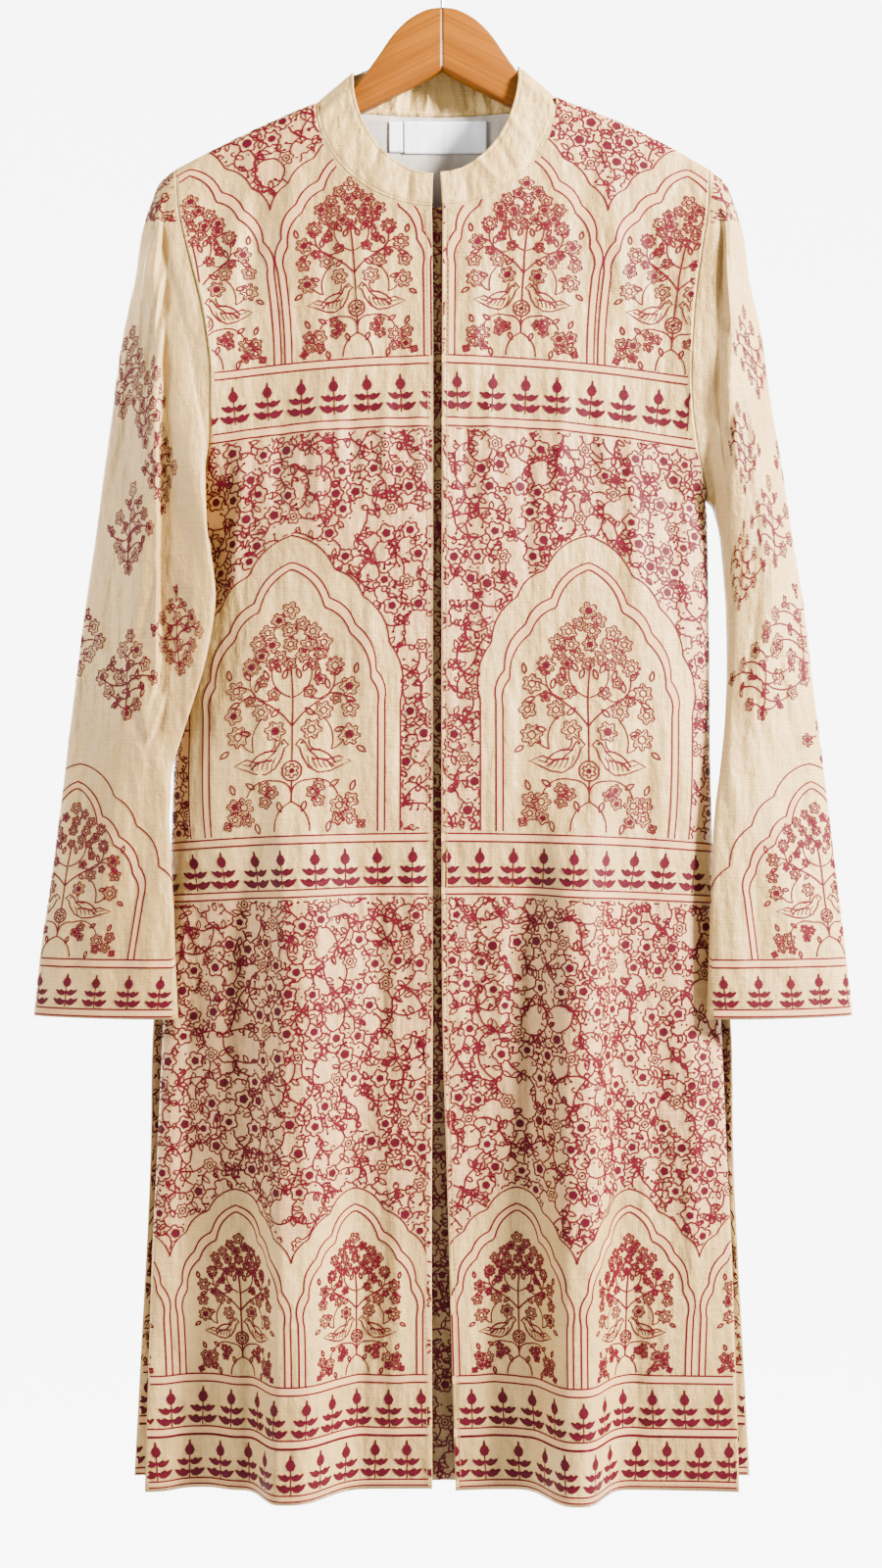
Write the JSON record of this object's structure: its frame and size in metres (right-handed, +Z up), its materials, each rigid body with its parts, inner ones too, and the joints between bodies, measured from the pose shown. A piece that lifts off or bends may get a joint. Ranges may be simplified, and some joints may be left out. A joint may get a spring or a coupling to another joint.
{
  "type": "kurta on a wooden hanger",
  "caption": "Long straight kurta with a band collar, centre opening, long sleeves and side slits, hung on a wooden hanger with a metal hook.",
  "frame": {"origin": "inside top of the hanger's hook, where a rail carries the hanger and the kurta on it", "axes": "+Z up along the kurta's length, +X to the wearer's left, +Y from the front of the kurta to its back"},
  "size_m": [0.6476, 0.0924, 1.2323],
  "materials": {
    "printed_silk": "beige tussar silk with a maroon line print, slubbed, softly shiny",
    "plain_silk": "plain beige tussar silk, slubbed, softly shiny",
    "lining": "matt pale cotton",
    "label_satin": "white woven satin, bare",
    "hanger_wood": "clear satin varnish on honey coloured beech",
    "hook_steel": "polished plated steel wire"
  },
  "bodies": {
    "root": {"front_right": "printed_silk", "front_left": "printed_silk", "back": "printed_silk", "sleeve_right": "printed_silk", "sleeve_left": "printed_silk", "under_placket": "printed_silk", "collar": "plain_silk", "back_lining": "lining", "neck_label": "label_satin", "size_tab": "label_satin", "hanger_arm_right": "hanger_wood", "hanger_arm_left": "hanger_wood", "hanger_hook": "hook_steel"}
  },
  "joints": []
}
